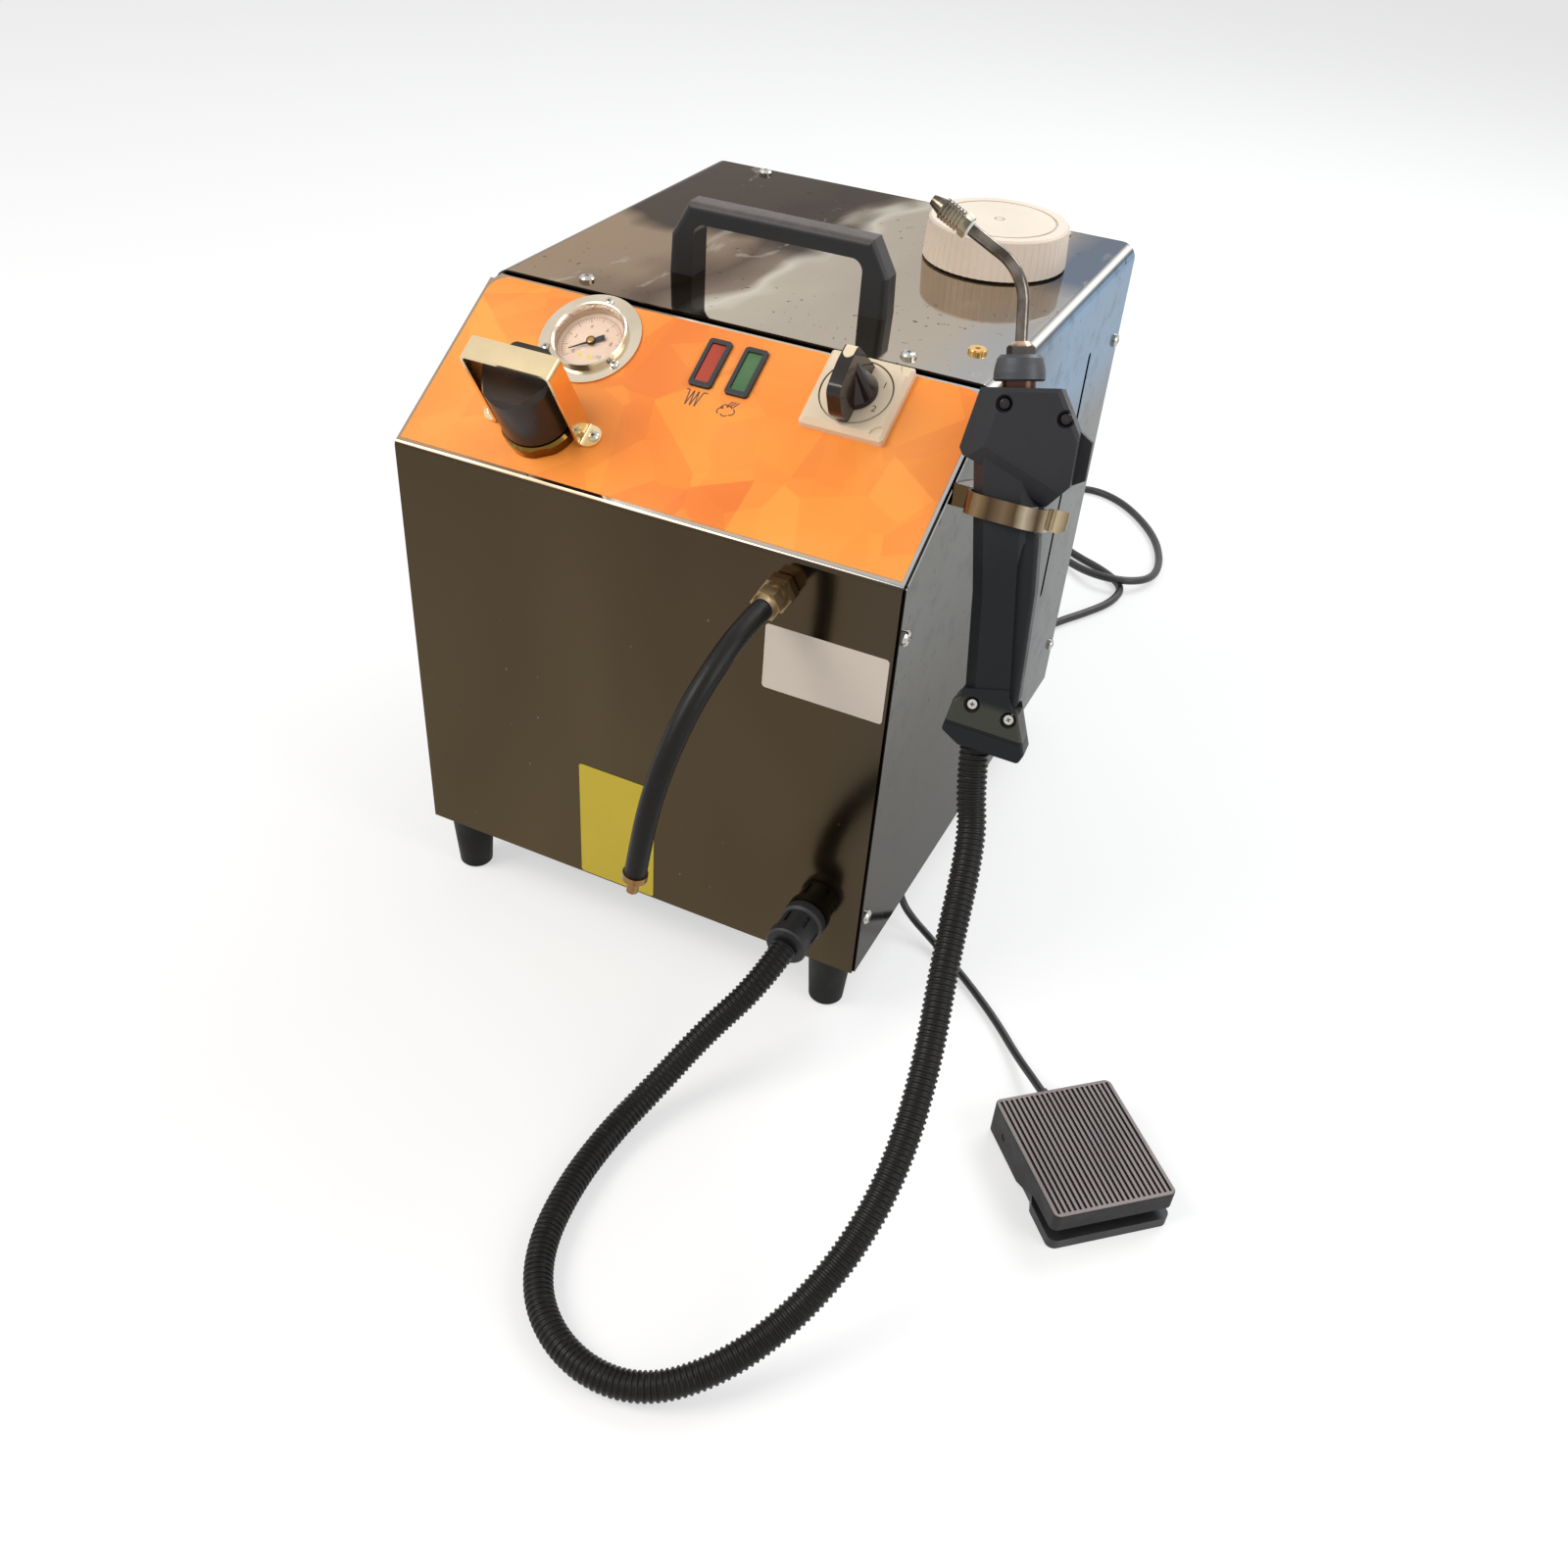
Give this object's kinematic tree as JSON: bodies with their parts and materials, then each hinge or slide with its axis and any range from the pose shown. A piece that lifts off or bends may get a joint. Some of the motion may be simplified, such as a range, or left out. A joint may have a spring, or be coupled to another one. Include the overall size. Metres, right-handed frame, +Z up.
{
  "type": "jewelry steam cleaner",
  "caption": "Boxy steel steam cleaner with a sloped control panel, round water tank cap, hose-fed steam gun in a side clip and a foot pedal.",
  "frame": {"origin": "on the floor plane under the middle of the cabinet, between its four rubber feet", "axes": "+X to the right seen from the front, where the gun hangs; +Y to the rear, away from the control panel; +Z up"},
  "size_m": [0.5305, 1.0973, 0.4663],
  "materials": {
    "cabinet_steel": "polished",
    "tray_steel": "satin",
    "foot_rubber": "satin",
    "screw_steel": "polished",
    "bright_steel": "polished",
    "brass": "satin",
    "decal_film": "gloss",
    "black_plastic": "satin",
    "gloss_black": "gloss",
    "tank_plastic": "translucent",
    "gasket_rubber": "matte",
    "cap_cream": "satin",
    "boiler_steel": "satin",
    "valve_brass": "satin",
    "cap_brown": "satin",
    "guard_steel": "polished",
    "gauge_chrome": "polished",
    "dial_print": "matte",
    "clear_glass": "clear",
    "needle_black": "satin",
    "lens_red": "gloss",
    "lens_green": "gloss",
    "plate_cream": "satin",
    "hose_black": "satin",
    "copper": "polished",
    "clear_hose": "satin",
    "pump_body": "satin",
    "gun_plastic": "satin",
    "gun_collar_grey": "satin",
    "washer_white": "matte",
    "nozzle_metal": "satin",
    "pedal_top": "satin",
    "pedal_black": "satin",
    "cord_black": "satin",
    "plug_black": "satin"
  },
  "bodies": {
    "cabinet": {"base_tray": "tray_steel", "front_panel": "cabinet_steel", "top_cover": "cabinet_steel", "rear_panel": "tray_steel", "rubber_feet": "foot_rubber", "cabinet_screws": "screw_steel", "vent_plug": "brass", "control_decal": "decal_film", "carry_handle": "black_plastic", "water_tank": "tank_plastic", "tank_gasket": "gasket_rubber", "tank_shelf": "tray_steel", "boiler": "boiler_steel", "heating_element": "boiler_steel", "boiler_bracket": "tray_steel", "boiler_fittings": "valve_brass", "filler_collar": "brass", "cap_guard": "guard_steel", "small_screws": "screw_steel", "gauge_case": "gauge_chrome", "gauge_dial": "dial_print", "gauge_glass": "clear_glass", "lamp_bezels": "black_plastic", "red_lens": "lens_red", "green_lens": "lens_green", "switch_plate": "plate_cream", "switch_body": "black_plastic", "relief_fitting": "brass", "relief_hose": "hose_black", "relief_tip": "copper", "hose_connector": "black_plastic", "steam_hose": "hose_black", "copper_pipes": "copper", "water_hoses": "clear_hose", "feed_pump": "pump_body", "gun_clip": "bright_steel", "pedal_base": "pedal_black", "pedal_switch": "black_plastic", "pedal_gland": "black_plastic", "pedal_lead": "cord_black", "strain_relief": "black_plastic", "mains_lead": "cord_black", "mains_coil": "cord_black", "mains_plug": "plug_black"},
    "selector": {"switch_knob": "gloss_black"},
    "pointer": {"gauge_needle": "needle_black"},
    "tank_cap_rise": {"tank_cap_liner": "gasket_rubber"},
    "tank_cap_body": {"tank_cap": "cap_cream"},
    "boiler_cap_rise": {"boiler_cap_seal": "gasket_rubber"},
    "boiler_cap_body": {"boiler_cap": "cap_brown"},
    "pedal_plate": {"pedal_cover": "pedal_top"},
    "gun_body": {"gun_front": "gun_plastic", "gun_rear": "gun_plastic", "gun_screws": "screw_steel", "neck_fittings": "bright_steel", "gun_collar": "gun_collar_grey", "gun_lance": "bright_steel", "gun_nozzle": "nozzle_metal", "nozzle_washer": "washer_white"},
    "gun_lever": {"gun_trigger": "gun_plastic"}
  },
  "joints": [
    {"name": "selector_turn", "type": "hinge", "parent": "cabinet", "child": "selector", "pos_m": [0.0875, -0.10602, 0.35956], "axis": [0, -0.5232, 0.8522], "range_deg": [-120, 0]},
    {"name": "pointer_swing", "type": "hinge", "parent": "cabinet", "child": "pointer", "pos_m": [-0.074, -0.10943, 0.35747], "axis": [0, -0.5232, 0.8522], "range_deg": [-261, 0]},
    {"name": "tank_cap_lift", "type": "slide", "parent": "cabinet", "child": "tank_cap_rise", "axis": [0, 0, 1], "range_m": [0, 0.006]},
    {"name": "tank_cap_turn", "type": "hinge", "parent": "tank_cap_rise", "child": "tank_cap_body", "pos_m": [0.0862, 0.105, 0.374], "axis": [0, 0, 1], "range_deg": [0, 544]},
    {"name": "boiler_cap_lift", "type": "slide", "parent": "cabinet", "child": "boiler_cap_rise", "axis": [0, -0.5232, 0.8522], "range_m": [0, 0.004]},
    {"name": "boiler_cap_turn", "type": "hinge", "parent": "boiler_cap_rise", "child": "boiler_cap_body", "pos_m": [-0.074, -0.16014, 0.32633], "axis": [0, -0.5232, 0.8522], "range_deg": [0, 724]},
    {"name": "pedal_press", "type": "hinge", "parent": "cabinet", "child": "pedal_plate", "pos_m": [0.30214, -0.21756, 0.013], "axis": [0.7455, 0.6665, 0], "range_deg": [0, 4.5], "stiffness_Nm_per_rad": 8, "springref_deg": -5.73},
    {"name": "gun_lift", "type": "slide", "parent": "cabinet", "child": "gun_body", "axis": [-0.2164, 0.3339, 0.9174], "range_m": [0, 0.05]},
    {"name": "gun_squeeze", "type": "hinge", "parent": "gun_body", "child": "gun_lever", "pos_m": [0.19773, -0.14025, 0.3373], "axis": [-0.1359, 0.9202, -0.367], "range_deg": [0, 4], "stiffness_Nm_per_rad": 6, "springref_deg": -3.44}
  ],
  "couplings": [
    {"joint": "tank_cap_turn", "follows": "tank_cap_lift", "rad_per_m": 1570.8},
    {"joint": "boiler_cap_turn", "follows": "boiler_cap_lift", "rad_per_m": 3141.6}
  ]
}
